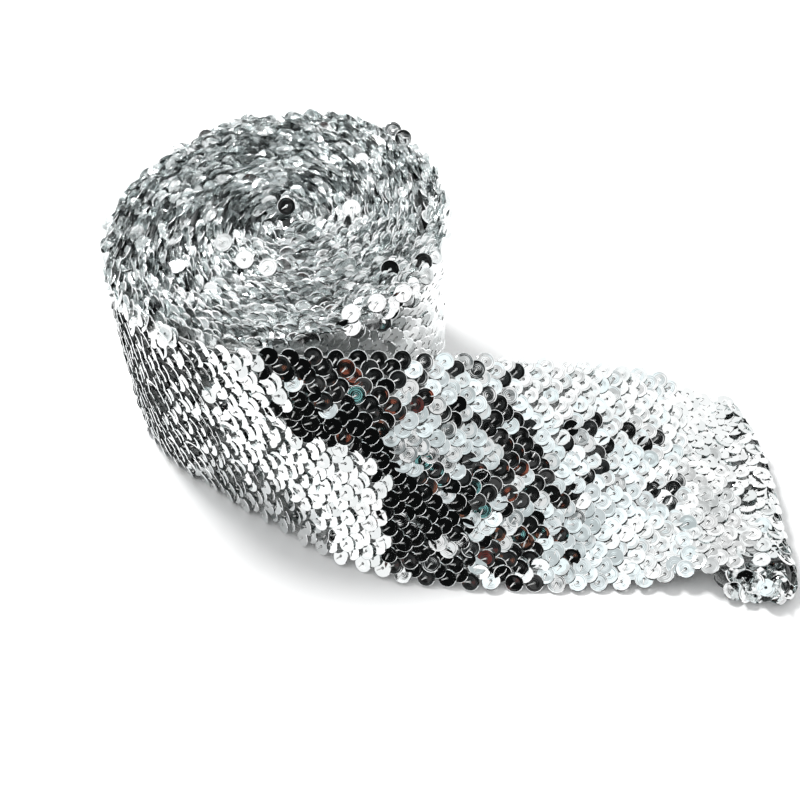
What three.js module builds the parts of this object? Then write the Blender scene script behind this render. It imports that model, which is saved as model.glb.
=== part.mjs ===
// A roll of silver sequin trim standing on its edge, with its loose end drawn out to the right.
// The trim is one knitted tape covered with overlapping sequins. It is wound into a flat spiral,
// leaves the roll at the front, leans back as it goes, and ends lying down with its end tucked under.
// Millimetres, +Z up. The origin is on the roll's axis, on the surface that the roll stands on.
import * as THREE from "three";

// Driving sizes of the trim and of the winding.
const trimWidth = 75; // edge to edge, sequins included
const sheetThickness = 2.4; // knitted tape with its sequins lying on it
const turnPitch = 3; // one wound layer
const turnCount = 18;
const outerRadius = 57.8; // to the outside of the last layer
const leaveAngle = THREE.MathUtils.degToRad(-115); // where the loose end leaves the roll
const ovalGrowth = 2.4; // the roll is wider by this much along its long axis, and narrower across
const ovalAxis = THREE.MathUtils.degToRad(58);
const eyeShift = { x: 3, y: 2.6 }; // the first turn lies off the middle of the roll
const footTaper = 3.2; // the wall draws in by this much towards its foot on one side
const taperSide = THREE.MathUtils.degToRad(-155);

// Relief of the roll's top.
const stepsPerTurn = 60;
const grooveDepth = 2.2; // between the edges of two layers
const eyeDepth = 4; // the small eye in the middle of the winding
const edgeRipple = 0.5; // single sequins that stand up along a layer's edge
const ripplePerStep = 2.4; // radians, so that the ripple never repeats in step with a turn

// Start of the loose end, just beyond the end of the last layer and clear of the layer behind it.
const startGap = 0.52;
const startLift = 0.6;
const startBulge = 1.4; // follows the swell of the roll's wall

// Outline of the loose end.
const scallopPitch = 7; // one stitch unit of two sequins along the edge
const scallopDepth = 1.1;
const stepsPerScallop = 4;
const cellsAcross = 6;
const edgeThinning = 0.55; // share of the thickness that is left at the two edges

// The tucked end: the trim turns under itself, lies on the surface and curls up at its cut edge.
const tuckRadius = 4.5; // to the middle of the sheet
const tuckLength = 20;
const tuckCurl = 3.6;
const tuckBow = 3.8; // the fold stands out this far in the middle of its length
const tuckSteps = 6;
const tuckShift = -8; // the layer underneath sticks out towards the front by this much

// The layer underneath, as shares of its length back from the fold and of its curl at the cut edge.
const tuckedFlat = [
  { back: 0.4, curled: 0 },
  { back: 0.75, curled: 0.3 },
  { back: 1, curled: 1 },
];

// How far each layer's edge stands above or below the trim's width.
const layerRises = [
  { turn: 0, rise: -1.4 },
  { turn: 2, rise: 0.6 },
  { turn: 4, rise: -0.9 },
  { turn: 6.5, rise: 0.9 },
  { turn: 9, rise: 0 },
  { turn: 11.5, rise: 1 },
  { turn: 14, rise: 0.3 },
  { turn: 16.5, rise: 1.2 },
  { turn: 16.7, rise: -0.8 },
  { turn: 17.2, rise: 0.2 },
  { turn: 17.5, rise: 1.8 },
  { turn: 17.68, rise: -1.6 },
  { turn: 18, rise: -0.4 },
];

// How far the wall of the roll swells at each share of its height.
const wallSwells = [
  { share: 0, swell: -0.3 },
  { share: 0.12, swell: 0.1 },
  { share: 0.4, swell: 0.4 },
  { share: 0.7, swell: 0.3 },
  { share: 0.92, swell: 0.1 },
  { share: 1, swell: 0 },
];

// The loose end's stations after its start, up to the crest of the tucked end. Each has the place of
// the lower and of the upper edge, and how far the sheet bulges towards the front between them.
const stations = [
  { lower: [-15.0, -58.4, 0.1], upper: [-14.8, -56.8, 74.8], bulge: 1.6 },
  { lower: [-5.0, -64.7, 0.2], upper: [-4.4, -57.7, 74.4], bulge: 2.4 },
  { lower: [13.0, -77.6, 0.4], upper: [14.4, -55.4, 71.8], bulge: 4.6 },
  { lower: [30.0, -86.0, 0.6], upper: [31.0, -51.6, 67.4], bulge: 5.6 },
  { lower: [44.0, -90.3, 0.7], upper: [45.0, -47.0, 62.0], bulge: 5.4 },
  { lower: [58.0, -92.4, 0.8], upper: [57.5, -42.6, 56.8], bulge: 4.6 },
  { lower: [72.0, -93.2, 0.9], upper: [71.0, -37.4, 51.0], bulge: 3.8 },
  { lower: [86.0, -93.6, 1.0], upper: [85.0, -32.6, 44.4], bulge: 3.2 },
  { lower: [100.0, -93.3, 1.1], upper: [99.0, -28.0, 38.0], bulge: 2.8 },
  { lower: [113.0, -93.0, 1.6], upper: [111.0, -24.2, 31.6], bulge: 2.6 },
  { lower: [124.0, -92.4, 4.2], upper: [122.0, -20.8, 25.2], bulge: 2.4 },
  { lower: [134.0, -91.6, 7.2], upper: [132.5, -18.4, 18.8], bulge: 2.0 },
  { lower: [145.5, -90.8, 9.6], upper: [142.5, -17.6, 13.2], bulge: 1.2 },
  { lower: [158.5, -89.6, 10.2], upper: [150.2, -17.8, 10.2], bulge: 0.4 },
];

// Straight-line reading of one column of a short table.
function readTable(rows, key, column, at) {
  const next = rows.findIndex((row) => row[key] >= at);
  if (next === -1) return rows[rows.length - 1][column];
  if (next === 0) return rows[0][column];
  const share = (at - rows[next - 1][key]) / (rows[next][key] - rows[next - 1][key]);
  return THREE.MathUtils.lerp(rows[next - 1][column], rows[next][column], share);
}

// A mesh from a list of corner points, three for each triangle.
function meshOf(name, corners, material) {
  const geometry = new THREE.BufferGeometry().setFromPoints(corners);
  geometry.computeVertexNormals();
  const mesh = new THREE.Mesh(geometry, material);
  mesh.name = name;
  return mesh;
}

// Two triangles for the face a, b, c, d, counted anticlockwise from outside.
function pushFace(corners, a, b, c, d) {
  corners.push(a, b, c, a, c, d);
}

const lastStep = turnCount * stepsPerTurn;

// A point on the winding at a step counted from its inner end, off a layer's middle line by a share
// of a layer. The turns grow from the shifted eye into the slightly oval outline of the roll.
function windingPoint(step, acrossShare, height) {
  const turn = step / stepsPerTurn;
  const angle = leaveAngle + 2 * Math.PI * (turn - turnCount);
  const roundRadius = outerRadius - turnPitch * (turnCount - turn + 0.5 - acrossShare);
  const grown = roundRadius / outerRadius;
  const radius = roundRadius + ovalGrowth * grown * Math.cos(2 * (angle - ovalAxis));
  const shift = Math.max(0, 1 - grown * grown);
  const x = eyeShift.x * shift + radius * Math.cos(angle);
  const y = eyeShift.y * shift + radius * Math.sin(angle);
  return new THREE.Vector3(x, y, height);
}

// The height of a layer's edge at a step, with single sequins standing up along it.
function edgeHeight(step) {
  const turn = step / stepsPerTurn;
  const ripple = edgeRipple * Math.min(turn / turnCount, 1) * Math.sin(ripplePerStep * step);
  return trimWidth + readTable(layerRises, "turn", "rise", turn) + ripple;
}

function ridgePoint(step) {
  return windingPoint(step, 0, edgeHeight(step));
}

// The groove lies between a layer and the one inside it.
function groovePoint(step) {
  return windingPoint(step, -0.5, edgeHeight(Math.min(step, lastStep)) - grooveDepth);
}

// A point of the rim brought down to a share of its height, with the wall's swell and taper.
function wallPoint(rimPoint, share) {
  const radius = Math.hypot(rimPoint.x, rimPoint.y);
  const side = Math.max(0, Math.cos(Math.atan2(rimPoint.y, rimPoint.x) - taperSide));
  const offset = readTable(wallSwells, "share", "swell", share) - footTaper * side * (1 - share) ** 2;
  const grown = 1 + offset / radius;
  return new THREE.Vector3(rimPoint.x * grown, rimPoint.y * grown, rimPoint.z * share);
}

// The wound trim as one solid: a spiral of layer edges on top, a flat underside, and the wall of the
// last layer, which ends in a step where the loose end begins.
function woundRoll(material) {
  const corners = [];
  for (let step = 0; step < lastStep; step++) {
    const ridge = [ridgePoint(step), ridgePoint(step + 1)];
    const inner = [groovePoint(step), groovePoint(step + 1)];
    const outer = [groovePoint(step + stepsPerTurn), groovePoint(step + 1 + stepsPerTurn)];
    pushFace(corners, inner[0], ridge[0], ridge[1], inner[1]);
    pushFace(corners, ridge[0], outer[0], outer[1], ridge[1]);
  }

  const eye = new THREE.Vector3(eyeShift.x, eyeShift.y, trimWidth - eyeDepth);
  for (let step = 0; step < stepsPerTurn; step++) {
    corners.push(eye, groovePoint(step), groovePoint(step + 1));
  }
  corners.push(eye, groovePoint(stepsPerTurn), ridgePoint(0));
  corners.push(eye, ridgePoint(0), groovePoint(0));

  const rim = [];
  for (let step = lastStep; step <= lastStep + stepsPerTurn; step++) rim.push(groovePoint(step));
  rim.push(ridgePoint(lastStep));
  const levels = wallSwells.map(({ share }) => rim.map((point) => wallPoint(point, share)));
  for (let level = 1; level < levels.length; level++) {
    const [below, above] = [levels[level - 1], levels[level]];
    rim.forEach((_, i) => {
      const next = (i + 1) % rim.length;
      pushFace(corners, below[i], below[next], above[next], above[i]);
    });
  }

  const foot = levels[0];
  const outline = foot.map((point) => new THREE.Vector2(point.x, point.y));
  for (const [a, b, c] of THREE.ShapeUtils.triangulateShape(outline, [])) {
    corners.push(foot[c], foot[b], foot[a]);
  }
  return meshOf("wound_roll", corners, material);
}

// The loose end's first station, worked out from the end of the last layer.
function startStation() {
  const upper = windingPoint(lastStep, 0, trimWidth);
  const lower = wallPoint(upper, 0);
  const outward = new THREE.Vector3(upper.x, upper.y, 0).normalize();
  const onward = new THREE.Vector3(-outward.y, outward.x, 0);
  for (const edge of [upper, lower]) {
    edge.addScaledVector(outward, startLift).addScaledVector(onward, startGap);
  }
  return { lower: lower.toArray(), upper: upper.toArray(), bulge: startBulge };
}

// The stations of the end that is turned under: round the fold, then back along the surface.
function tuckedStations() {
  const crest = stations[stations.length - 1];
  const fullDrop = 2 * tuckRadius;
  const rows = [];
  for (let step = 1; step <= tuckSteps; step++) {
    const turned = (Math.PI * step) / tuckSteps;
    const ahead = tuckRadius * Math.sin(turned);
    const drop = tuckRadius * (1 - Math.cos(turned));
    rows.push({ ahead, drop, bulge: tuckBow * Math.sin(turned) });
  }
  for (const { back, curled } of tuckedFlat) {
    rows.push({ ahead: -tuckLength * back, drop: fullDrop - tuckCurl * curled, bulge: 0 });
  }
  return rows.map(({ ahead, drop, bulge }) => {
    const shift = tuckShift * Math.min(1, drop / fullDrop);
    const move = ([x, y, z]) => [x + ahead, y + shift, z - drop];
    return { lower: move(crest.lower), upper: move(crest.upper), bulge };
  });
}

// The middle surface of the loose end, from its place along (0 to 1) and across the trim (0 to 1).
const allStations = [startStation(), ...stations, ...tuckedStations()];
const edgeCurve = (side) => {
  const points = allStations.map((station) => new THREE.Vector3(...station[side]));
  return new THREE.CatmullRomCurve3(points, false, "catmullrom", 0.5);
};
const lowerEdge = edgeCurve("lower");
const upperEdge = edgeCurve("upper");
const bulges = new THREE.SplineCurve(allStations.map(({ bulge }, i) => new THREE.Vector2(i, bulge)));

function middlePoint(along, across) {
  const lower = lowerEdge.getPoint(along);
  const up = upperEdge.getPoint(along).sub(lower);
  const onward = lowerEdge.getTangent(along).add(upperEdge.getTangent(along));
  const front = onward.cross(up).normalize();
  const bulge = 4 * across * (1 - across) * bulges.getPoint(along).y;
  return lower.addScaledVector(up, across).addScaledVector(front, bulge);
}

// Places along the middle line, equally far apart, a few to each scallop of the edge.
function placesAlong() {
  const samples = 1200;
  const lengths = [0];
  for (let i = 1; i <= samples; i++) {
    const piece = middlePoint(i / samples, 0.5).distanceTo(middlePoint((i - 1) / samples, 0.5));
    lengths.push(lengths[i - 1] + piece);
  }
  const total = lengths[samples];
  const count = Math.round((total * stepsPerScallop) / scallopPitch);
  const places = [];
  for (let i = 0, at = 0; i <= count; i++) {
    while (at < samples && lengths[at] < (total * i) / count) at++;
    places.push(at / samples);
  }
  return places;
}

// How far the edge draws in from the sequins' reach at a step along it, as half-round scallops.
function drawnIn(step) {
  const offCentre = (2 * (step % stepsPerScallop)) / stepsPerScallop - 1;
  return scallopDepth * (1 - Math.sqrt(1 - offCentre * offCentre));
}

// The sheet at one place along it, as a front and a back row of points from the lower edge up.
function sectionAt(along, step) {
  const near = 0.0005;
  const front = [];
  const back = [];
  for (let cell = 0; cell <= cellsAcross; cell++) {
    const across = cell / cellsAcross;
    const before = middlePoint(Math.max(along - near, 0), across);
    const after = middlePoint(Math.min(along + near, 1), across);
    const below = middlePoint(along, Math.max(across - near, 0));
    const up = middlePoint(along, Math.min(across + near, 1)).sub(below).normalize();
    const normal = after.sub(before).cross(up).normalize();
    const inward = { 0: 1, [cellsAcross]: -1 }[cell] ?? 0;
    const middle = middlePoint(along, across).addScaledVector(up, inward * drawnIn(step));
    const half = (sheetThickness / 2) * (inward === 0 ? 1 : edgeThinning);
    front.push(middle.clone().addScaledVector(normal, half));
    back.push(middle.clone().addScaledVector(normal, -half));
  }
  for (const point of [...front, ...back]) point.z = Math.max(point.z, 0);
  return { front, back };
}

// The loose end as one closed sheet, scalloped by the sequins along both edges.
function looseEnd(material) {
  const corners = [];
  const sections = placesAlong().map(sectionAt);
  const last = sections.length - 1;
  const top = cellsAcross;
  for (let i = 0; i < last; i++) {
    const [here, next] = [sections[i], sections[i + 1]];
    for (let k = 0; k < top; k++) {
      pushFace(corners, here.front[k], next.front[k], next.front[k + 1], here.front[k + 1]);
      pushFace(corners, here.back[k], here.back[k + 1], next.back[k + 1], next.back[k]);
    }
    pushFace(corners, here.front[0], here.back[0], next.back[0], next.front[0]);
    pushFace(corners, here.front[top], next.front[top], next.back[top], here.back[top]);
  }
  const [start, end] = [sections[0], sections[last]];
  for (let k = 0; k < top; k++) {
    pushFace(corners, start.front[k], start.front[k + 1], start.back[k + 1], start.back[k]);
    pushFace(corners, end.front[k], end.back[k], end.back[k + 1], end.front[k + 1]);
  }
  return meshOf("loose_end", corners, material);
}

// Silver sequins: on the roll they are seen edge on, in streaks, and on the loose end face on.
const woundSequins = new THREE.MeshStandardMaterial({ color: 0xb9bfc2, roughness: 0.3, metalness: 0.9 });
const openSequins = new THREE.MeshStandardMaterial({ color: 0xd9dde0, roughness: 0.18, metalness: 1 });

const trim = new THREE.Group();
trim.add(woundRoll(woundSequins));
trim.add(looseEnd(openSequins));

export default trim;
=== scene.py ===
import math

import bpy
import numpy as np
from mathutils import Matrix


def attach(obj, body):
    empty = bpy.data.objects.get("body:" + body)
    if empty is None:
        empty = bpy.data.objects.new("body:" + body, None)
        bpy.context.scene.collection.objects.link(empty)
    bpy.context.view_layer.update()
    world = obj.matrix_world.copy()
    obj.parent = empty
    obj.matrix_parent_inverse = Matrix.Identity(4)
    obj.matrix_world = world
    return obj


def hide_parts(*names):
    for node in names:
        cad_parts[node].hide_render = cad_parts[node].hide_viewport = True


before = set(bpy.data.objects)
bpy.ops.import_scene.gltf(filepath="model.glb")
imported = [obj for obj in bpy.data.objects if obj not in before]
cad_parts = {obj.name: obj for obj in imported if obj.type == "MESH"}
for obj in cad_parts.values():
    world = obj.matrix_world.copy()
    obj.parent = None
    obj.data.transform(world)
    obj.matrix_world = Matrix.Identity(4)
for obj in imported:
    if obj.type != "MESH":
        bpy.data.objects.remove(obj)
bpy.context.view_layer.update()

METRE = 1000  # in millimetres
SEED = 11
chance = np.random.default_rng(SEED)

# The trim and its winding.
TRIM_WIDTH = 75
TURN_PITCH = 3
TURNS = 18
OUTER_RADIUS = 57.8
LEAVE_ANGLE = math.radians(-115)
OVAL_GROWTH = 2.4
OVAL_AXIS = math.radians(58)
EYE_SHIFT = (3, 2.6)
FOOT_TAPER = 3.2
TAPER_SIDE = math.radians(-155)
SWELL_TURNS = (11, 17)  # the wall's swell grows from none to full between these turns
TIGHT_TURNS, TIGHTENING_TURNS = 0.6, 0.4  # the last turns that stay tight, and those that pass into them

# How far each layer's edge stands above the trim's width. Columns: turn, rise.
LAYER_RISES = np.array([
    (0, -1.4), (2, 0.6), (4, -0.9), (6.5, 0.9), (9, 0), (11.5, 1), (14, 0.3), (16.5, 1.2),
    (16.7, -0.8), (17.2, 0.2), (17.5, 1.8), (17.68, -1.6), (18, -0.4),
])

# How far the roll's wall swells. Columns: share of the height, swell.
WALL_SWELLS = np.array([(0, -0.3), (0.12, 0.1), (0.4, 0.4), (0.7, 0.3), (0.92, 0.1), (1, 0)])

# Places where the winding is looser, so that a dark gap opens between two layers.
# Columns: layer, angle in degrees, width of the gap, layers that share it, half its length in degrees.
LOOSE_PLACES = [
    (9, 178, 2.2, 2.5, 30),
    (14, 10, 2.0, 2.5, 26),
    (12, 60, 1.2, 2.0, 30),
    (6, -60, 1.2, 2.0, 34),
]

# The loose end's stations, from its start to the crest of the tucked end.
# Columns: lower edge x, y, z, upper edge x, y, z, bulge of the sheet towards the front.
START_OUTWARD = 0.6
START_ONWARD = 0.52
START_BULGE = 1.4
BULGE_SCALE = 27 / 4  # brings the highest value of share**2 * (1 - share) to 1
STATIONS = np.array([
    (-15.0, -58.4, 0.1, -14.8, -56.8, 74.8, 1.6),
    (-5.0, -64.7, 0.2, -4.4, -57.7, 74.4, 2.4),
    (13.0, -77.6, 0.4, 14.4, -55.4, 71.8, 4.6),
    (30.0, -86.0, 0.6, 31.0, -51.6, 67.4, 5.6),
    (44.0, -90.3, 0.7, 45.0, -47.0, 62.0, 5.4),
    (58.0, -92.4, 0.8, 57.5, -42.6, 56.8, 4.6),
    (72.0, -93.2, 0.9, 71.0, -37.4, 51.0, 3.8),
    (86.0, -93.6, 1.0, 85.0, -32.6, 44.4, 3.2),
    (100.0, -93.3, 1.1, 99.0, -28.0, 38.0, 2.8),
    (113.0, -93.0, 1.6, 111.0, -24.2, 31.6, 2.6),
    (124.0, -92.4, 4.2, 122.0, -20.8, 25.2, 2.4),
    (134.0, -91.6, 7.2, 132.5, -18.4, 18.8, 2.0),
    (145.5, -90.8, 9.6, 142.5, -17.6, 13.2, 1.2),
    (158.5, -89.6, 10.2, 150.2, -17.8, 10.2, 0.4),
])

# The tucked end, which turns under itself.
TUCK_RADIUS = 4.5
TUCK_LENGTH = 20
TUCK_CURL = 3.6
TUCK_BOW = 3.8
TUCK_STEPS = 6
TUCK_SHIFT = -8
TUCKED_FLAT = [(0.4, 0), (0.75, 0.3), (1, 1)]  # share of the length back, share of the curl

# The sequins and their rows.
SEQUIN_RADIUS = 3
HOLE_RADIUS = 0.5
SEQUIN_STEP = 3.5
ROWS = 14
ROW_PITCH = 5.15
ZIGZAG = 1.3
ERROR_ALONG, ERROR_ACROSS = 0.22, 0.25  # how far a sequin is sewn off its place
SEQUIN_LIFT = 0.25
LIFT_SPREAD = 0.08
RING_PITCH = 0.55  # between the stamped rings of a sequin
CREASE_PITCH = 3.077  # between the soft creases of the film
UV_CELL = 8  # each sequin has its own square of this size in its texture coordinates
UV_CELLS_A_ROW = 100
FLOOR_CLEARANCE = 0.02

# How they lie, in degrees: the edge towards the loose end stands up over the next sequin, and the
# upper edge stands out a little. Each is turned by chance, and a share of them by more.
SEQUIN_LEAN = 13
SEQUIN_ROLL = 4
STEADY_TURN = 3
LOOSE_TURN = 11
LOOSE_SHARE = 0.14

# Neighbours wander from that together, in slow waves along the trim.
LEAN_WANDER, ROLL_WANDER = 15, 12  # the sizes of the waves
WANDER_TURN, TAIL_WANDER_TURN = 3, 3  # degrees, all over and what the tail adds
LEAN_PART = 0.6  # the lean wanders by this part of what the roll does
WANDERS_APART = 300  # along the trim, so that lean and roll don't wander alike

# Along the wound edge the sequins crowd together and stand at all angles.
RIM_STEP = 1.5
RIM_ERROR = 0.4
RIM_OFFSETS = (32.4, 35.4)
RIM = ROWS  # the row number of the crowded sequins
RIM_LIFT_SPREAD = 0.5
RIM_LEAN_SPREAD, RIM_ROLL_SPREAD = 4, 18  # degrees

# The knitted tape under them. It shrinks a little in the tight winding, under the sequins' edge.
WOUND_TAPE_WIDTH = 65
LOOSE_TAPE_WIDTH = 70.5
TAPE_THICKNESS = 0.5
TAPE_SINK = -0.8  # from the trim's middle surface to the tape's
TAPE_CELLS = 16

# The camera, fitted to the photo, in metres and degrees.
CAMERA_PLACE = (0.0392, -0.3571, 0.3803)
CAMERA_TILT = 42.32
CAMERA_LENS = 65.25

# The dark side of the room that the sequins mirror. Azimuths count from the front, towards the right.
DARK_FROM, DARK_TO = -36, 62
RISE_TO_SIDES = 0.3  # it reaches higher by this many degrees for each degree to either side


def unit(vectors):
    """The vectors, brought to length 1."""
    return vectors / np.linalg.norm(vectors, axis=-1, keepdims=True)


def column_reading(table, at):
    """Straight-line reading of a table of two columns."""
    return np.interp(at, table[:, 0], table[:, 1])


def loosened(turn, angle):
    """How far the layers are pushed apart round the looser places of the winding."""
    moved = np.zeros_like(turn)
    for layer, place, gap, sharing, half_length in LOOSE_PLACES:
        away = np.angle(np.exp(1j * (angle - math.radians(place))))
        seam = ((math.radians(place) + math.pi - LEAVE_ANGLE) / (2 * math.pi)) % 1
        layers_out = np.floor(turn - seam) - layer + 0.5
        fade = np.exp(-(np.abs(layers_out) - 0.5) / sharing)
        fade = fade * np.exp(-(away / math.radians(half_length)) ** 2)
        moved += 0.5 * gap * np.sign(layers_out) * fade
    return moved * np.clip((TURNS - TIGHT_TURNS - turn) / TIGHTENING_TURNS, 0, 1)


def wound_surface(turn, share):
    """Middle surface of the wound trim, a row of points from the lower edge up for each turn."""
    turn, share = turn[:, None], share[None, :]
    angle = LEAVE_ANGLE + 2 * math.pi * (turn - TURNS)
    round_radius = OUTER_RADIUS - TURN_PITCH * (TURNS - turn + 0.5)
    grown = round_radius / OUTER_RADIUS
    radius = round_radius + OVAL_GROWTH * grown * np.cos(2 * (angle - OVAL_AXIS))
    taper = FOOT_TAPER * np.maximum(0, np.cos(angle - TAPER_SIDE)) * (1 - share) ** 2
    first, full = SWELL_TURNS
    swelling = np.clip((turn - first) / (full - first), 0, 1)
    radius = radius + loosened(turn, angle) + swelling * (column_reading(WALL_SWELLS, share) - taper)
    shift = np.maximum(0, 1 - grown**2)
    height = share * (TRIM_WIDTH + column_reading(LAYER_RISES, turn))
    x = EYE_SHIFT[0] * shift + radius * np.cos(angle)
    y = EYE_SHIFT[1] * shift + radius * np.sin(angle)
    return np.stack([x, y, height], axis=-1)


def all_stations():
    """The loose end's stations: its start, the table, the fold and the layer underneath."""
    lower, upper = wound_surface(np.array([TURNS - 1e-6]), np.array([0.0, 1.0]))[0]
    upper[2] = TRIM_WIDTH
    outward = unit(upper * (1, 1, 0))
    onward = np.array([-outward[1], outward[0], 0])
    move = START_OUTWARD * outward + START_ONWARD * onward
    rows = [np.hstack([lower + move, upper + move, START_BULGE]), *STATIONS]
    crest = STATIONS[-1]
    tucked = []
    for step in range(1, TUCK_STEPS + 1):
        turned = math.pi * step / TUCK_STEPS
        ahead, drop = TUCK_RADIUS * math.sin(turned), TUCK_RADIUS * (1 - math.cos(turned))
        tucked.append((ahead, drop, TUCK_BOW * math.sin(turned)))
    tucked += [(-TUCK_LENGTH * back, 2 * TUCK_RADIUS - TUCK_CURL * curl, 0) for back, curl in TUCKED_FLAT]
    for ahead, drop, bulge in tucked:
        move = np.array([ahead, TUCK_SHIFT * min(1, drop / (2 * TUCK_RADIUS)), -drop])
        rows.append(np.hstack([crest[0:3] + move, crest[3:6] + move, bulge]))
    return np.array(rows)


def smooth_through(rows, at):
    """A Catmull-Rom curve through rows of numbers, read at places counted in rows."""
    padded = np.vstack([2 * rows[0] - rows[1], rows, 2 * rows[-1] - rows[-2]])
    first = np.clip(np.floor(at).astype(int), 0, len(rows) - 2)
    t = (at - first)[:, None]
    a, b, c, d = (padded[first + k] for k in range(4))
    return 0.5 * (2 * b + (c - a) * t + (2 * a - 5 * b + 4 * c - d) * t**2 + (3 * b - a - 3 * c + d) * t**3)


def loose_surface(at, share):
    """Middle surface of the loose end, with its sheet bulging between its two edges."""
    rows = smooth_through(all_stations(), at)
    lower, upper, bulge = rows[:, 0:3], rows[:, 3:6], rows[:, 6]
    up = upper - lower
    front = unit(np.cross(np.gradient(lower + upper, at, axis=0), up))
    share = share[None, :, None]
    bulging = BULGE_SCALE * share**2 * (1 - share) * bulge[:, None, None] * front[:, None]
    return lower[:, None] + share * up[:, None] + bulging


def even_places(at, surface, spacing):
    """Places along a surface that are equally far apart on its middle line."""
    middle = surface[:, surface.shape[1] // 2]
    length = np.concatenate([[0], np.cumsum(np.linalg.norm(np.diff(middle, axis=0), axis=1))])
    count = int(length[-1] / spacing)
    return np.interp(np.linspace(0, length[-1], count + 1), length, at)


# The whole trim as a grid of points: rows along it, columns from its lower to its upper edge.
COLUMNS = 17
INNER_STEP, OUTER_STEP = 1 / 64, 1 / 320  # from row to row in the inner turns and in the last, in turns
LOOSE_STEP = 1.1  # from row to row in the loose end
TRIAL_ROWS = 3000  # to measure the loose end by
shares = np.linspace(0, 1, COLUMNS)
inner_turns = np.arange(0, TURNS - 1, INNER_STEP)
wound_turns = np.concatenate([inner_turns, np.arange(TURNS - 1, TURNS, OUTER_STEP)])
trial_places = np.linspace(0, len(all_stations()) - 1, TRIAL_ROWS)
loose_places = even_places(trial_places, loose_surface(trial_places, shares), LOOSE_STEP)
grid = np.concatenate([wound_surface(wound_turns, shares), loose_surface(loose_places, shares)])

# The step from the roll to the loose end is smoothed over a few rows.
SMOOTHED_ROWS, SMOOTHINGS = 6, 12
leave_row = len(wound_turns)
smooth_from, smooth_to = leave_row - SMOOTHED_ROWS, leave_row + SMOOTHED_ROWS
for _ in range(SMOOTHINGS):
    before, here, after = (grid[smooth_from + k:smooth_to + k] for k in (-1, 0, 1))
    grid[smooth_from:smooth_to] = (before + 2 * here + after) / 4

middle_line = grid[:, COLUMNS // 2]
arc = np.concatenate([[0], np.cumsum(np.linalg.norm(np.diff(middle_line, axis=0), axis=1))])
along_grid = unit(np.gradient(grid, arc, axis=0))
up_grid = unit(np.gradient(grid, axis=1))
out_grid = unit(np.cross(along_grid, up_grid))
TRIM_LENGTH = arc[-1]
LEAVE_ARC = arc[leave_row]
OUTER_ARC = arc[len(inner_turns)]
PAST_END = 0.5  # rows by which a place may lie past either end of the trim


def on_trim(at, offset):
    """Place on the trim and its three directions (along, up, out), at arc lengths and offsets from
    the trim's middle line."""
    row = np.clip(np.searchsorted(arc, at) - 1, 0, len(arc) - 2)
    s = np.clip((at - arc[row]) / (arc[row + 1] - arc[row]), -PAST_END, 1 + PAST_END)[:, None]
    across = (offset / TRIM_WIDTH + 0.5) * (COLUMNS - 1)
    cell = np.clip(np.floor(across).astype(int), 0, COLUMNS - 2)
    t = (across - cell)[:, None]

    def read(values):
        near = values[row, cell] * (1 - t) + values[row, cell + 1] * t
        far = values[row + 1, cell] * (1 - t) + values[row + 1, cell + 1] * t
        return near * (1 - s) + far * s

    return read(grid), unit(read(along_grid)), unit(read(up_grid)), unit(read(out_grid))


def mesh_piece(name, points, faces, uvs, material, sharp=None):
    """A piece of four-sided faces on the root body. uvs has a pair for each point, and sharp a
    number for each point: an edge between two points of the same number, above 0, stays sharp."""
    mesh = bpy.data.meshes.new(name)
    mesh.vertices.add(len(points))
    mesh.vertices.foreach_set("co", (points / METRE).astype(np.float32).ravel())
    mesh.loops.add(faces.size)
    mesh.loops.foreach_set("vertex_index", faces.astype(np.int32).ravel())
    mesh.polygons.add(len(faces))
    mesh.polygons.foreach_set("loop_start", np.arange(0, faces.size, 4, dtype=np.int32))
    mesh.update(calc_edges=True)
    mesh.shade_smooth()
    layer = mesh.uv_layers.new(name="UVMap")
    layer.data.foreach_set("uv", uvs[faces.ravel()].astype(np.float32).ravel())
    if sharp is not None:
        ends = np.zeros(2 * len(mesh.edges), dtype=np.int32)
        mesh.edges.foreach_get("vertices", ends)
        first, second = sharp[ends[0::2]], sharp[ends[1::2]]
        kept = mesh.attributes.new("sharp_edge", "BOOLEAN", "EDGE")
        kept.data.foreach_set("value", (first == second) & (first > 0))
    mesh.validate()
    mesh.materials.append(material)
    piece = bpy.data.objects.new(name, mesh)
    bpy.context.scene.collection.objects.link(piece)
    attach(piece, "root")
    return piece


def linear(colour):
    """An sRGB hex colour as linear values."""
    parts = [int(colour[i:i + 2], 16) / 255 for i in (1, 3, 5)]
    return [p / 12.92 if p <= 0.04045 else ((p + 0.055) / 1.055) ** 2.4 for p in parts] + [1]


def add_node(tree, kind, settings=None, inputs=None, links=None):
    """Adds a node with its settings, its input values and what is linked to its inputs: a socket,
    or a node for its first output."""
    node = tree.nodes.new(kind)
    for key, value in (settings or {}).items():
        setattr(node, key, value)
    for key, value in (inputs or {}).items():
        node.inputs[key].default_value = value
    for key, source in (links or {}).items():
        socket = source.outputs[0] if isinstance(source, bpy.types.Node) else source
        tree.links.new(socket, node.inputs[key])
    return node


def new_material(name):
    """A material with its shader, ready for links."""
    material = bpy.data.materials.new(name)
    material.use_nodes = True
    tree = material.node_tree
    return material, tree, tree.nodes["Principled BSDF"]


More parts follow.
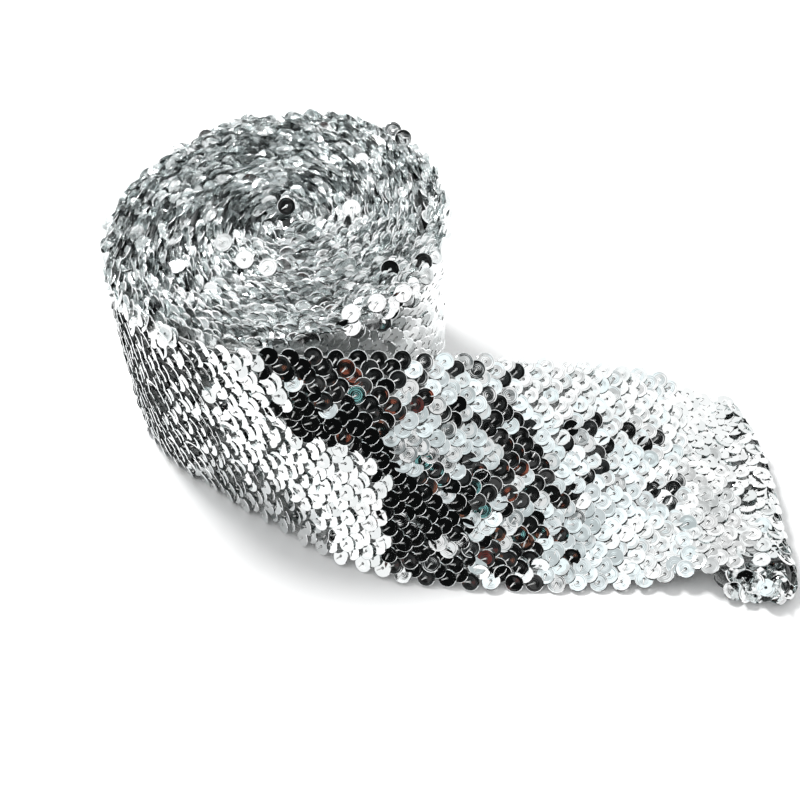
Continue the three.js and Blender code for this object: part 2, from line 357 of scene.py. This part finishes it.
def metallised_film(name, roughness, waviness):
    """Silver polyester film with a thin layer of aluminium, stamped into flat sequins. It mirrors
    what it faces, and the stamped rings and the film's waviness blur and bend the mirror. waviness
    is in metres: film that is pressed in the winding is creased and has lost some of its gloss."""
    material, tree, shader = new_material(name)
    shader.inputs["Metallic"].default_value = 1
    shader.inputs["Roughness"].default_value = roughness
    place = add_node(tree, "ShaderNodeUVMap", {"uv_map": "UVMap"})
    number = add_node(tree, "ShaderNodeVectorMath", {"operation": "FLOOR"}, links={0: place})
    local = add_node(tree, "ShaderNodeVectorMath", {"operation": "FRACTION"}, links={0: place})
    from_hole = add_node(tree, "ShaderNodeVectorMath", {"operation": "DISTANCE"}, {1: (0.5, 0.5, 0)},
                         {0: local})
    chosen = add_node(tree, "ShaderNodeTexWhiteNoise", {"noise_dimensions": "2D"}, links={"Vector": number})
    silver = add_node(tree, "ShaderNodeValToRGB", links={"Fac": chosen})
    silver.color_ramp.elements[0].color = linear("#e4e8e8")
    silver.color_ramp.elements[1].color = linear("#f9fafa")
    tree.links.new(silver.outputs["Color"], shader.inputs["Base Color"])

    ring_turns = 2 * math.pi * UV_CELL / RING_PITCH
    rings = add_node(tree, "ShaderNodeMath", {"operation": "MULTIPLY"}, {1: ring_turns},
                     {0: from_hole.outputs["Value"]})
    wave = add_node(tree, "ShaderNodeMath", {"operation": "SINE"}, links={0: rings})
    crumple = add_node(tree, "ShaderNodeTexNoise", {"noise_dimensions": "2D"}, {
        "Scale": UV_CELL / CREASE_PITCH, "Detail": 0.6}, {"Vector": place})
    ring_bump = add_node(tree, "ShaderNodeBump", inputs={"Strength": 0.1, "Distance": 0.00002},
                         links={"Height": wave})
    bump = add_node(tree, "ShaderNodeBump", inputs={"Strength": 0.5, "Distance": waviness},
                    links={"Height": crumple, "Normal": ring_bump})
    tree.links.new(bump.outputs[0], shader.inputs["Normal"])
    return material


WALE_WIDTH, COURSE_LENGTH = 1.2, 0.9  # width and length of one knitted loop
COURSE_SLANT = 1.4
COURSE_HEIGHT = 0.6  # of the courses, where the wales have 1


def stretch_knit_with_painted_shade():
    """White polyester stretch knit, soft and matt, with fine ribs along it and small slanting loops.
    Its colour is painted shade: a grey in place of the white, for the shade that falls between the
    mirroring sequins, and darker still in the hollows of the loops. Its texture coordinates are in
    millimetres."""
    material, tree, shader = new_material("stretch_knit_with_painted_shade")
    shader.inputs["Roughness"].default_value = 0.9
    shader.inputs["Sheen Weight"].default_value = 0.25
    place = add_node(tree, "ShaderNodeUVMap", {"uv_map": "UVMap"})
    parts = add_node(tree, "ShaderNodeSeparateXYZ", links={0: place})
    wale = add_node(tree, "ShaderNodeMath", {"operation": "MULTIPLY"}, {1: 2 * math.pi / WALE_WIDTH},
                    {0: parts.outputs["Y"]})
    course = add_node(tree, "ShaderNodeMath", {"operation": "MULTIPLY"}, {1: 2 * math.pi / COURSE_LENGTH},
                      {0: parts.outputs["X"]})
    wale_wave = add_node(tree, "ShaderNodeMath", {"operation": "SINE"}, links={0: wale})
    slant = add_node(tree, "ShaderNodeMath", {"operation": "MULTIPLY_ADD"}, {1: COURSE_SLANT},
                     {0: wale_wave, 2: course})
    course_wave = add_node(tree, "ShaderNodeMath", {"operation": "SINE"}, links={0: slant})
    height = add_node(tree, "ShaderNodeMath", {"operation": "MULTIPLY_ADD"}, {1: COURSE_HEIGHT},
                      {0: course_wave, 2: wale_wave})
    bump = add_node(tree, "ShaderNodeBump", inputs={"Strength": 0.7, "Distance": 0.00015},
                    links={"Height": height})
    tree.links.new(bump.outputs[0], shader.inputs["Normal"])
    raised = add_node(tree, "ShaderNodeMapRange", inputs={
        "From Min": -1 - COURSE_HEIGHT, "From Max": 1 + COURSE_HEIGHT}, links={"Value": height})
    shade = add_node(tree, "ShaderNodeValToRGB", links={"Fac": raised})
    # Painted shade: grey on the white knit for the shade between the sequins, darker in the hollows of the
    # loops.
    shade.color_ramp.elements[0].color = linear("#949696")
    shade.color_ramp.elements[1].color = linear("#c0c2c1")
    tree.links.new(shade.outputs["Color"], shader.inputs["Base Color"])
    return material


def sewing_thread():
    """White spun polyester thread. The slanting lines of its twist are drawn coarser than they are,
    so that they show."""
    material, tree, shader = new_material("sewing_thread")
    shader.inputs["Roughness"].default_value = 0.75
    shader.inputs["Sheen Weight"].default_value = 0.3
    place = add_node(tree, "ShaderNodeUVMap", {"uv_map": "UVMap"})
    twist = add_node(tree, "ShaderNodeTexWave", {"bands_direction": "DIAGONAL"}, {"Scale": 1.6},
                     {"Vector": place})
    shade = add_node(tree, "ShaderNodeValToRGB", links={"Fac": twist.outputs["Fac"]})
    shade.color_ramp.elements[0].color = linear("#dededb")
    shade.color_ramp.elements[1].color = linear("#ffffff")
    tree.links.new(shade.outputs["Color"], shader.inputs["Base Color"])
    return material


film = metallised_film("metallised_film", roughness=0.07, waviness=0.00009)
pressed_film = metallised_film("pressed_metallised_film", roughness=0.24, waviness=0.0006)
knit = stretch_knit_with_painted_shade()
thread = sewing_thread()


def sequin_shape(sides, rings):
    """Points, faces and sharp ring numbers of one sequin with its hole, lying in the xy plane.
    rings are pairs of radius and height over the front; the back runs flat from rim to hole."""
    angle = 2 * math.pi * np.arange(sides) / sides
    circle = np.stack([np.cos(angle), np.sin(angle)], axis=1)
    points = np.concatenate([np.hstack([circle * r, np.full((sides, 1), h)]) for r, h in rings])
    sharp = np.repeat(np.arange(1, len(rings) + 1), sides)
    faces = []
    for ring in range(len(rings)):
        inner, outer = ring * sides, (ring + 1) % len(rings) * sides
        for k in range(sides):
            after = (k + 1) % sides
            faces.append((inner + k, outer + k, outer + after, inner + after))
    return points, np.array(faces), sharp


# The fine sequin has a shallow dish and a bent rim. The plain one serves where many show small.
FINE_SEQUIN = sequin_shape(18, [(HOLE_RADIUS, 0), (1.9, -0.03), (2.82, 0), (SEQUIN_RADIUS, -0.12)])
PLAIN_SEQUIN = sequin_shape(12, [(HOLE_RADIUS, 0), (2.68, 0), (SEQUIN_RADIUS, -0.2)])


def sequin_places(rows, start, end):
    """Arc lengths, offsets from the middle line and row numbers of the sequins of some rows."""
    count = round((end - start) / SEQUIN_STEP)
    number = np.arange(count)
    found = []
    for row in rows:
        at = start + (end - start) / count * (number + 0.5 * (row % 2))
        at += chance.normal(0, ERROR_ALONG, count)
        side = np.where(number % 2, 1, -1)
        offset = (row - (ROWS - 1) / 2) * ROW_PITCH + ZIGZAG * side
        offset += chance.normal(0, ERROR_ACROSS, count)
        found.append(np.stack([at, offset, np.full(count, row)]))
    return np.concatenate(found, axis=1)


def rim_places(start, end):
    """The crowded sequins along the upper edge of the winding."""
    count = int((end - start) / RIM_STEP)
    at = start + RIM_STEP * np.arange(count) + chance.normal(0, RIM_ERROR, count)
    return np.stack([at, chance.uniform(*RIM_OFFSETS, count), np.full(count, RIM)])


def drift(at, offset, size):
    """A slow wander, from about -1.5 to 1.5, that neighbouring sequins share."""
    bent = at / (0.9 * size) + 1.7 * np.sin(offset / size)
    wander = np.sin(bent) * np.cos(offset / (1.1 * size) + at / (2.3 * size))
    return wander + 0.5 * np.sin(at / (0.37 * size) - offset / (0.41 * size))


def mirrored_angles(centre, normal):
    """Azimuth and elevation, in degrees, of what each sequin mirrors for someone at the camera."""
    towards = unit(np.array(CAMERA_PLACE) * METRE - centre)
    x, y, z = (2 * (towards * normal).sum(axis=1)[:, None] * normal - towards).T
    return np.degrees(np.arctan2(x, -y)), np.degrees(np.arcsin(np.clip(z, -1, 1)))


def facing_to_mirror(centre, azimuth, elevation):
    """The direction a sequin faces when it mirrors that part of the room for someone at the camera."""
    towards = unit(np.array(CAMERA_PLACE) * METRE - centre)
    a, e = np.radians(azimuth), np.radians(elevation)
    return unit(towards + np.stack([np.sin(a) * np.cos(e), -np.cos(a) * np.cos(e), np.sin(e)], axis=-1))


# Beyond the roll most sequins lie tipped to one side or the other, in bands, so that each mirrors
# either the dark side of the room or the pale rest. Columns: from and to along the trim, counted from
# the roll, from and to across it, and the share of the sequins that mirrors the dark side.
TIPPED_BANDS = [
    (0, 68, 3, 38, 0.97), (0, 88, -38, 3, 0.9), (68, 92, 3, 38, 0.08), (88, 95, -38, 3, 0.4),
    (92, 110, 22, 38, 0.2), (92, 112, 12, 22, 0.6), (95, 115, -22, 12, 0.86), (95, 115, -38, -22, 0.66),
    (115, 130, -16, 16, 0.28), (116, 128, -38, -16, 0.2), (132, 157, -10, 18, 0.26),
]
BAND_WANDER = 2.5  # how far a sequin may stray over a band's edge
TIPPED_UP_TO = 165

# Nearer to the roll than this they all mirror the pale room to the left of the dark side.
# Columns: place across the trim, up to where along it.
PALE_BEFORE = np.array([(-38, 63), (0, 63), (5, 55), (11, 35), (38, 20)])
SIDE_MARGIN = 6  # degrees that they keep off the ends of the dark side

# How high above the horizon the tipped sequins mirror the room, in degrees: the lowest and highest of
# the dark ones, and the lowest of the pale ones. Columns: place along the trim, elevation.
DARK_LOWEST, DARK_HIGHEST = -20, 21
PALE_LOWEST = np.array([(90, 52), (115, 60)])
HEIGHT_SPREAD = 8


def tip_bands(centre, normal, beyond, offset):
    """Tips the sequins of the loose end over, band by band."""
    count = len(centre)
    along = beyond + chance.normal(0, BAND_WANDER, count)
    across = offset + chance.normal(0, BAND_WANDER, count)
    share = np.zeros(count)
    for start, end, low, high, dark_share in TIPPED_BANDS:
        inside = (along > start) & (along < end) & (across > low) & (across < high)
        share[inside] = dark_share
    before = along < column_reading(PALE_BEFORE, across)
    dark = (chance.random(count) < share) & ~before
    azimuth, elevation = mirrored_angles(centre, normal)
    rise = RISE_TO_SIDES * np.abs(azimuth)
    natural = elevation - rise
    lowest = column_reading(PALE_LOWEST, beyond) + chance.normal(0, HEIGHT_SPREAD, count)
    highest = DARK_HIGHEST + chance.normal(0, HEIGHT_SPREAD, count)
    chosen = np.where(dark, np.clip(natural, DARK_LOWEST, highest), np.maximum(natural, lowest))
    elevation = np.where(before, elevation, chosen + rise)
    azimuth = np.where(dark, np.clip(azimuth, DARK_FROM + SIDE_MARGIN, DARK_TO - SIDE_MARGIN), azimuth)
    azimuth = np.where(before, np.minimum(azimuth, DARK_FROM - SIDE_MARGIN), azimuth)
    tipped = (beyond > 0) & (beyond < TIPPED_UP_TO)
    return np.where(tipped[:, None], facing_to_mirror(centre, azimuth, elevation), normal)


# Stretches where the sequins lie differently. Columns: place along the trim, counted from the roll and
# below 0 on it, share of the difference there.
ROLL_SIDE = np.array([(-80, 0), (-50, 0.2), (0, 0.5), (30, 1), (60, 0)])
LOWER_LEAVING = np.array([(0, 0), (30, 1), (65, 1), (95, 0)])
UPPER_BEND = np.array([(5, 0), (20, 1), (50, 1), (75, 0)])
FOLD = np.array([(140, 0), (160, 1)])
LOWER_ROWS = np.array([(7, 1), (10, 0)])  # columns: row number, share
RIM_ROWS = np.array([(ROWS - 3, 0), (ROWS, 1)])  # columns: row number, share
TAIL = np.array([(60, 0), (150, 1)])  # columns: x, share


def sequin_directions(places):
    """Centre of each sequin and its own three directions, as it leans on the next one."""
    at, offset, row = places
    place, along, up, out = on_trim(at, offset)
    count = len(at)
    on_roll = at < LEAVE_ARC
    beyond = at - LEAVE_ARC
    rim = column_reading(RIM_ROWS, row) * on_roll
    tail = column_reading(TAIL, place[:, 0]) * ~on_roll
    lower = column_reading(LOWER_ROWS, row)

    lean = np.full(count, SEQUIN_LEAN, dtype=float)
    roll_over = np.full(count, SEQUIN_ROLL, dtype=float)
    # Columns: share of the difference, degrees that all of it adds to the lean and to the roll.
    for share, leaning, rolling in (
        (column_reading(ROLL_SIDE, beyond), 6, 0),
        (column_reading(LOWER_LEAVING, beyond) * lower, 0, -12),
        (column_reading(UPPER_BEND, beyond) * (1 - lower), -7, -4),
        (column_reading(FOLD, beyond), -8, 0),
        (tail, 0, -11),
        (rim, 0, -19),
    ):
        lean += leaning * share
        roll_over += rolling * share
    wander = WANDER_TURN + TAIL_WANDER_TURN * tail
    lean += LEAN_PART * wander * drift(at + WANDERS_APART, offset, LEAN_WANDER)
    roll_over += wander * drift(at, offset, ROLL_WANDER)
    loose = np.where(chance.random(count) < LOOSE_SHARE, LOOSE_TURN, STEADY_TURN)
    lean += chance.normal(0, 1, count) * (loose + RIM_LEAN_SPREAD * rim)
    roll_over += chance.normal(0, 1, count) * (loose + RIM_ROLL_SPREAD * rim)
    lean, roll_over = np.radians(lean)[:, None], np.radians(roll_over)[:, None]
    tilted = along * np.cos(lean) + out * np.sin(lean)
    facing = out * np.cos(lean) - along * np.sin(lean)
    normal = facing * np.cos(roll_over) - up * np.sin(roll_over)
    lift = SEQUIN_LIFT + chance.normal(0, 1, count) * (LIFT_SPREAD + RIM_LIFT_SPREAD * rim)
    centre = place + out * lift[:, None]
    normal = tip_bands(centre, normal, beyond, offset)
    sideways = unit(np.cross(normal, tilted))
    return centre, np.cross(sideways, normal), sideways, normal


# Sequins of the wound edge that have turned on their thread. Columns: x, y, z, how far one may be
# moved to get there, and the azimuth and elevation of what it mirrors for someone at the camera.
# The first lies over the eye of the roll.
TURNED_SEQUINS = [
    (2.8, 1.8, 79.6, 6, 2, 33), (23.5, 4.0, 78.6, 3, -50, 70), (-16.3, -13.5, 77.2, 3, -62, 58),
    (-9.1, -21.4, 76.8, 3, -50, 66), (-1.7, -25.1, 77, 3, -44, 62), (41.2, 42.6, 74.5, 1.5, 12, 42),
    (36.8, 46.5, 74.5, 1.5, -4, 44), (46.4, -20.9, 75, 3, 6, 33), (36.1, -24.9, 75.6, 3, -5, 31),
    (42.9, -27.3, 72, 2, 12, 46), (37.4, -35.0, 72, 2, 0, 31), (24.5, -44.7, 76, 2.5, -50, 66),
    (24.7, -47.8, 73.6, 2.5, -48, 64), (32.2, -40.4, 76, 2.5, -52, 62), (35.2, -40.2, 72.7, 2.5, -50, 68),
    (40.1, -34.8, 74.7, 2.5, -46, 62), (42.7, -31.7, 69.5, 2.5, -50, 66), (33.7, -41.4, 68.8, 2.5, 2, 31),
]


def turned_out(directions):
    """The sequins nearest to the chosen places, turned, and all the others as they are."""
    centre, tilted = directions[:2]
    chosen, places, facings = [], [], []
    for x, y, z, reach, azimuth, elevation in TURNED_SEQUINS:
        nearest = np.argmin(np.linalg.norm(centre - (x, y, z), axis=1))
        place = centre[nearest] + np.clip((x, y, z) - centre[nearest], -reach, reach)
        chosen.append(nearest)
        places.append(place)
        facings.append(facing_to_mirror(place, azimuth, elevation))
    facing = np.array(facings)
    sideways = unit(np.cross(facing, tilted[chosen]))
    turned = np.array(places), np.cross(sideways, facing), sideways, facing
    return turned, [np.delete(one, chosen, axis=0) for one in directions]


# The sequins at the near corner of the tucked end, crumpled between the layers.
CORNER_SEQUINS = 46
CORNER_BACK = (3, 27)  # from the cut, along the trim
CORNER_OFFSETS = (-37.5, -27)
CORNER_LIFT = (0.8, 5.5)
CORNER_FACING = np.array([0, -0.55, 0.75])
CORNER_CRUMPLE = 0.5  # spread of each part of that direction


def corner_directions():
    """Crumpled sequins that lie on the tucked layer's near edge, turned every way towards the front."""
    at = TRIM_LENGTH - chance.uniform(*CORNER_BACK, CORNER_SEQUINS)
    offset = chance.uniform(*CORNER_OFFSETS, CORNER_SEQUINS)
    place, along, _, out = on_trim(at, offset)
    normal = unit(CORNER_FACING + chance.normal(0, CORNER_CRUMPLE, (CORNER_SEQUINS, 3)))
    centre = place - out * chance.uniform(*CORNER_LIFT, (CORNER_SEQUINS, 1))
    sideways = unit(np.cross(normal, along))
    return centre, np.cross(sideways, normal), sideways, normal


def join_sequins(name, shape, directions, material=film):
    """One joined mesh of sequins at the given centres and directions."""
    centre, tilted, sideways, normal = directions
    points, faces, sharp = shape
    spun = chance.uniform(0, 2 * math.pi, len(centre))
    cos, sin = np.cos(spun)[:, None], np.sin(spun)[:, None]
    x, y, z = points.T
    first = (x * cos - y * sin)[..., None] * tilted[:, None]
    second = (x * sin + y * cos)[..., None] * sideways[:, None]
    placed = centre[:, None] + first + second + z[None, :, None] * normal[:, None]
    sunk = np.minimum(placed[..., 2].min(axis=1) - FLOOR_CLEARANCE, 0)
    placed[..., 2] -= sunk[:, None]
    count, corners = placed.shape[:2]
    local = points[:, :2] / UV_CELL + 0.5
    numbered = np.stack([np.arange(count) % UV_CELLS_A_ROW, np.arange(count) // UV_CELLS_A_ROW], axis=1)
    uvs = (numbered[:, None] + local[None]).reshape(-1, 2)
    joined = (faces[None] + corners * np.arange(count)[:, None, None]).reshape(-1, 4)
    return mesh_piece(name, placed.reshape(-1, 3), joined, uvs, material, np.tile(sharp, count))


def lay_tape():
    """The knitted tape as one thin closed sheet from the eye of the roll to the cut end."""
    width = TAPE_CELLS + 1
    half_width = np.interp(arc, [OUTER_ARC, LEAVE_ARC], [WOUND_TAPE_WIDTH / 2, LOOSE_TAPE_WIDTH / 2])
    at = np.repeat(arc, width)
    across = np.outer(half_width, np.linspace(-1, 1, width)).ravel()
    place, _, _, out = on_trim(at, across)
    count = len(place)
    front = place + out * (TAPE_SINK + TAPE_THICKNESS / 2)
    back = place + out * (TAPE_SINK - TAPE_THICKNESS / 2)
    points = np.concatenate([front, back])
    points[:, 2] = np.maximum(points[:, 2], FLOOR_CLEARANCE)
    index = np.arange(count).reshape(len(arc), width)

    def cells(rows):
        corners = [rows[:-1, :-1], rows[1:, :-1], rows[1:, 1:], rows[:-1, 1:]]
        return np.stack(corners, axis=-1).reshape(-1, 4)

    border = np.concatenate([index[:, 0], index[-1, 1:], index[-2::-1, -1], index[0, -2:0:-1]])
    after = np.roll(border, -1)
    edges = np.stack([border, border + count, after + count, after], axis=1)
    faces = np.concatenate([cells(index), cells(index)[:, ::-1] + count, edges])
    uvs = np.tile(np.stack([at, across], axis=1), (2, 1))
    piece = mesh_piece("knitted_tape", points, faces, uvs, knit)
    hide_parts("wound_roll", "loose_end")
    return piece


# Stitches: from the hole of each sequin over its face to its lower rim, on the side of the roll.
STITCH_LENGTH = 2.3
STITCH_LENGTHS = (0.75, 1.1)  # shortest and longest, as shares of that
STITCH_WIDTH = 0.42
STITCH_FLATNESS = 0.7
STITCH_DIRECTION, STITCH_TURN = 222, 18  # degrees on the sequin's face, and their spread

# A stitch from end to end. Columns: share of its length, height over the sequin, share of its width.
STITCH_STEPS = np.array([(-0.1, -0.35, 0.6), (0.15, 0.12, 1), (0.6, 0.16, 0.9), (1, -0.1, 0.7)])


def lay_stitches(name, directions):
    """A short thread of four sides on each sequin."""
    centre, tilted, sideways, normal = directions
    count = len(centre)
    turned = np.radians(STITCH_DIRECTION + chance.normal(0, STITCH_TURN, count))[:, None]
    run = tilted * np.cos(turned) + sideways * np.sin(turned)
    side = np.cross(normal, run)
    length = (STITCH_LENGTH * chance.uniform(*STITCH_LENGTHS, count))[:, None, None]
    share, height, width = STITCH_STEPS.T
    line = centre[:, None] + run[:, None] * share[:, None] * length + normal[:, None] * height[:, None]
    half = 0.5 * STITCH_WIDTH * width[:, None]
    outward, upward = side[:, None] * half, normal[:, None] * half * STITCH_FLATNESS
    points = np.stack([line + part for part in (outward, upward, -outward, -upward)], axis=2)
    points[..., 2] = np.maximum(points[..., 2], FLOOR_CLEARANCE)
    steps = len(STITCH_STEPS)
    faces = []
    for step in range(steps - 1):
        for k in range(4):
            a, b = 4 * step + k, 4 * step + (k + 1) % 4
            faces.append((a, b, b + 4, a + 4))
    faces += [(3, 2, 1, 0), tuple(4 * (steps - 1) + k for k in range(4))]
    joined = (np.array(faces)[None] + 4 * steps * np.arange(count)[:, None, None]).reshape(-1, 4)
    uvs = np.tile(np.stack([np.repeat(share, 4), np.tile([0, 0.25, 0.5, 0.75], steps)], axis=1), (count, 1))
    return mesh_piece(name, points.reshape(-1, 3), joined, uvs, thread)


every_row = range(ROWS)
end_directions = sequin_directions(sequin_places(every_row, LEAVE_ARC, TRIM_LENGTH))
wall_directions = sequin_directions(sequin_places(every_row, OUTER_ARC, LEAVE_ARC))
upper_directions = sequin_directions(sequin_places([ROWS - 2, ROWS - 1], SEQUIN_STEP, OUTER_ARC))
crowded_directions = sequin_directions(rim_places(SEQUIN_STEP, LEAVE_ARC - SEQUIN_STEP))
turned_directions, rim_directions = turned_out(crowded_directions)
foot_directions = sequin_directions(sequin_places([0], SEQUIN_STEP, OUTER_ARC))
on_tape = [
    join_sequins("loose_end_sequins", FINE_SEQUIN, end_directions),
    join_sequins("outer_turn_sequins", PLAIN_SEQUIN, wall_directions),
]
for part, directions in (("upper", upper_directions), ("rim", rim_directions), ("lower", foot_directions)):
    name = f"inner_turns_{part}_sequins"
    on_tape.append(join_sequins(name, PLAIN_SEQUIN, directions, pressed_film))
on_tape += [
    join_sequins("turned_sequins", FINE_SEQUIN, turned_directions),
    join_sequins("tucked_corner_sequins", FINE_SEQUIN, corner_directions()),
    lay_stitches("loose_end_stitches", end_directions),
    lay_stitches("outer_turn_stitches", wall_directions),
    lay_stitches("turned_stitches", turned_directions),
]
tape = lay_tape()


# The studio: a pale floor, a pale room that is dark behind the camera, and a soft light overhead.
FLOOR = (-0.7, 0.9, -0.17, 1.0)  # lowest and highest x, lowest and highest y, in metres


def lay_floor():
    """A plain pale floor."""
    left, right, front, back = FLOOR
    mesh = bpy.data.meshes.new("floor")
    corners = [(left, front, 0), (right, front, 0), (right, back, 0), (left, back, 0)]
    mesh.from_pydata(corners, [], [(0, 1, 2, 3)])
    floor = bpy.data.objects.new("floor", mesh)
    bpy.context.scene.collection.objects.link(floor)
    material, tree, shader = new_material("pale_floor")
    shader.inputs["Base Color"].default_value = linear("#fafafa")
    shader.inputs["Roughness"].default_value = 0.8
    shader.inputs["Specular IOR Level"].default_value = 0.2
    mesh.materials.append(material)


# How dark the room's dark side is. Columns: degrees above the horizon, grey level.
DARK_SIDE = [(12, 0.004), (14, 0.03), (18, 0.03), (20, 0.004), (37, 0.01), (42, 0.16), (49, 0.5), (56, 1.0)]
DARK_TINT = (0.92, 1, 1.02)
SOFT_EDGE = 3  # degrees over which one part of the room passes into the next

# Pale patches among the dark. Columns: from which azimuth, from which elevation, up to which
# elevation, level of the noise from which a patch shows, grey level.
PATCHES = [(-90, 8, 34, 0.56, 0.07), (12, 40, 60, 0.49, 0.9), (-90, 40, 60, 0.47, 0.9)]
PATCH_FINENESS = 6  # patches for each metre on a sphere of 1 m
PATCH_EDGE = 0.06  # the noise passes from no patch to a full one over this

# Small dim coloured spots in the dark side. Columns: azimuth, elevation, half width, colour.
COLOURED_SPOTS = [
    (-22, 24, 2.8, "#7e3a34"), (-6, 19, 2.6, "#96604a"), (3, 25, 2.4, "#8fd0cf"), (16, 28, 2.8, "#a8604c"),
]
SPOT_CORE = 0.7  # share of a spot's half width that has its full colour

# The pale room: its grey levels at the sides, overhead, and in the greyer patches overhead.
SIDES, OVERHEAD, GREYED = 1.1, 1.25, 0.66
OVERHEAD_FROM, OVERHEAD_FULL = 30, 50  # degrees above the horizon
GREYED_BELOW, OVERHEAD_ABOVE = 0.42, 0.58  # levels of the noise
BACKDROP = 0.93  # what the camera sees past the floor
GLOSSY_BOUNCES = 10  # light goes far down between the mirroring layers of the winding


def light_room():
    """The room that the sequins mirror, pale but for its dark side. The camera sees a plain backdrop."""
    world = bpy.data.worlds.new("studio")
    bpy.context.scene.world = world
    world.use_nodes = True
    tree = world.node_tree
    direction = add_node(tree, "ShaderNodeTexCoord").outputs["Generated"]
    parts = add_node(tree, "ShaderNodeSeparateXYZ", links={0: direction})
    smooth = {"interpolation_type": "SMOOTHSTEP"}
    blended = {"data_type": "RGBA"}

    raised = add_node(tree, "ShaderNodeMath", {"operation": "ARCSINE"}, links={0: parts.outputs["Z"]})
    elevation = add_node(tree, "ShaderNodeMath", {"operation": "DEGREES"}, links={0: raised})
    forward = add_node(tree, "ShaderNodeMath", {"operation": "MULTIPLY"}, {1: -1}, {0: parts.outputs["Y"]})
    turned = add_node(tree, "ShaderNodeMath", {"operation": "ARCTAN2"}, links={
        0: parts.outputs["X"], 1: forward})
    azimuth = add_node(tree, "ShaderNodeMath", {"operation": "DEGREES"}, links={0: turned})
    to_side = add_node(tree, "ShaderNodeMath", {"operation": "ABSOLUTE"}, links={0: azimuth})
    lowered = add_node(tree, "ShaderNodeMath", {"operation": "MULTIPLY_ADD"}, {1: -RISE_TO_SIDES},
                       {0: to_side, 2: elevation})

    noise = add_node(tree, "ShaderNodeTexNoise", inputs={"Scale": PATCH_FINENESS, "Detail": 1.0},
                     links={"Vector": direction})
    upward = add_node(tree, "ShaderNodeMapRange", smooth, {
        "From Min": OVERHEAD_FROM, "From Max": OVERHEAD_FULL}, {"Value": elevation})
    overhead = add_node(tree, "ShaderNodeMapRange", smooth, {
        "From Min": GREYED_BELOW, "From Max": OVERHEAD_ABOVE, "To Min": GREYED, "To Max": OVERHEAD
    }, {"Value": noise})
    pale = add_node(tree, "ShaderNodeMix", inputs={"A": SIDES}, links={"Factor": upward, "B": overhead})

    share = add_node(tree, "ShaderNodeMapRange", inputs={"From Min": -90, "From Max": 90},
                     links={"Value": lowered})
    bands = add_node(tree, "ShaderNodeValToRGB", links={"Fac": share})
    ramp = bands.color_ramp
    while len(ramp.elements) < len(DARK_SIDE):
        ramp.elements.new(0.5)
    for element, (degrees, grey) in zip(ramp.elements, DARK_SIDE):
        element.position = (degrees + 90) / 180
        element.color = [grey * tint for tint in DARK_TINT] + [1]
    room = add_node(tree, "ShaderNodeMix", {**blended, "blend_type": "MULTIPLY"}, {"Factor": 1},
                    {"A": bands, "B": pale})
    for from_azimuth, from_elevation, to_elevation, from_noise, grey in PATCHES:
        patch = add_node(tree, "ShaderNodeMapRange", smooth, {
            "From Min": from_noise, "From Max": from_noise + PATCH_EDGE, "To Max": grey}, {"Value": noise})
        for value, start, end in (
            (azimuth, from_azimuth, from_azimuth + SOFT_EDGE),
            (lowered, from_elevation, from_elevation + SOFT_EDGE),
            (lowered, to_elevation, to_elevation - SOFT_EDGE),
        ):
            inside = add_node(tree, "ShaderNodeMapRange", smooth, {"From Min": start, "From Max": end},
                              {"Value": value})
            patch = add_node(tree, "ShaderNodeMath", {"operation": "MULTIPLY"}, links={0: patch, 1: inside})
        room = add_node(tree, "ShaderNodeMix", {**blended, "blend_type": "LIGHTEN"}, {"Factor": 1},
                        {"A": room.outputs["Result"], "B": patch})
    for edge, beyond in ((DARK_FROM, -SOFT_EDGE), (DARK_TO, SOFT_EDGE)):
        outside = add_node(tree, "ShaderNodeMapRange", smooth, {
            "From Min": edge, "From Max": edge + beyond}, {"Value": azimuth})
        room = add_node(tree, "ShaderNodeMix", blended, links={
            "Factor": outside, "A": room.outputs["Result"], "B": pale})

    for azimuth_angle, elevation_angle, half_width, colour in COLOURED_SPOTS:
        a, e = math.radians(azimuth_angle), math.radians(elevation_angle)
        towards = (math.sin(a) * math.cos(e), -math.cos(a) * math.cos(e), math.sin(e))
        radius = math.radians(half_width)
        away = add_node(tree, "ShaderNodeVectorMath", {"operation": "DISTANCE"}, {1: towards},
                        {0: direction})
        spot = add_node(tree, "ShaderNodeMapRange", smooth, {
            "From Min": radius, "From Max": SPOT_CORE * radius}, {"Value": away.outputs["Value"]})
        room = add_node(tree, "ShaderNodeMix", blended, {"B": linear(colour)}, {
            "Factor": spot, "A": room.outputs["Result"]})
    seen = add_node(tree, "ShaderNodeLightPath").outputs["Is Camera Ray"]
    shown = add_node(tree, "ShaderNodeMix", blended, {"B": (BACKDROP, BACKDROP, BACKDROP, 1)}, {
        "Factor": seen, "A": room.outputs["Result"]})
    tree.links.new(shown.outputs["Result"], tree.nodes["Background"].inputs["Color"])


LAMP_SIZE, LAMP_POWER = 0.3, 13  # metres across, watts
LAMP_PLACE = (-0.45, 0.45, 1.0)
LAMP_TURN = (-28, -24, 0)  # degrees


def hang_light():
    """A soft light up on the left, behind the roll, for a gentle shadow towards the lower right."""
    light = bpy.data.lights.new("soft_light", "AREA")
    light.shape = "DISK"
    light.size = LAMP_SIZE
    light.energy = LAMP_POWER
    lamp = bpy.data.objects.new("soft_light", light)
    lamp.location = LAMP_PLACE
    lamp.rotation_euler = [math.radians(angle) for angle in LAMP_TURN]
    bpy.context.scene.collection.objects.link(lamp)


def place_camera():
    """The camera at the photo's viewpoint."""
    camera = bpy.data.cameras.new("camera")
    camera.lens = CAMERA_LENS
    camera.clip_start = 0.01
    holder = bpy.data.objects.new("camera", camera)
    holder.location = CAMERA_PLACE
    holder.rotation_euler = (math.radians(CAMERA_TILT), 0, 0)
    bpy.context.scene.collection.objects.link(holder)
    bpy.context.scene.camera = holder


place_camera()
lay_floor()
light_room()
hang_light()
bpy.context.scene.view_settings.view_transform = "Standard"
bpy.context.scene.cycles.glossy_bounces = GLOSSY_BOUNCES
